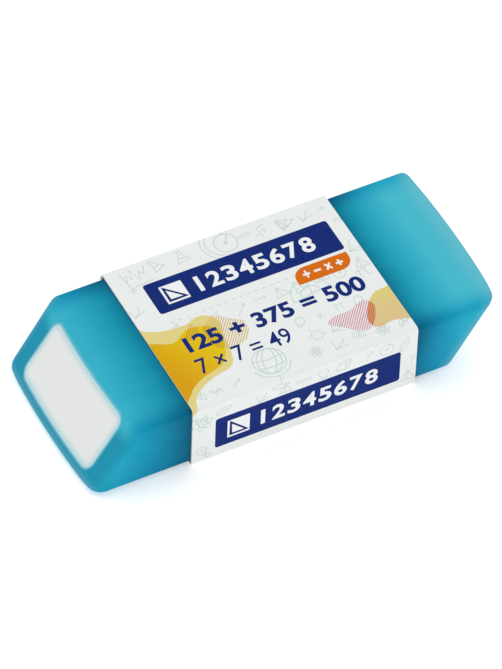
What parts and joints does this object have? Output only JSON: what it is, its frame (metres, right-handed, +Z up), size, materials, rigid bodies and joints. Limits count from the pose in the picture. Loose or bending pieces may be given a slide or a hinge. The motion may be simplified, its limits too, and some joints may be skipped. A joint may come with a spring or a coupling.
{
  "type": "pencil eraser",
  "caption": "Slant-cut pencil eraser with a white core in a see-through teal shell, held in a folded card sleeve that slides along it.",
  "frame": {"origin": "on the surface that the sleeve rests on, under the middle of the stick", "axes": "+X along the stick, +Y across it towards the sleeve's glued side, +Z up, square to the wide faces"},
  "size_m": [0.051, 0.0228, 0.0092],
  "materials": {
    "white_vinyl": "matt soft vinyl",
    "teal_vinyl": "satin see-through soft vinyl",
    "printed_card": "coated card, printed outside",
    "dry_glue": "dry glue film"
  },
  "bodies": {
    "stick": {"coloured_shell": "teal_vinyl", "white_core": "white_vinyl"},
    "sleeve": {"card_sleeve": "printed_card", "seam_glue": "dry_glue"}
  },
  "joints": [
    {"name": "sleeve_slide", "type": "slide", "parent": "stick", "child": "sleeve", "axis": [1, 0, 0], "range_m": [-0.041, 0.0395]}
  ]
}
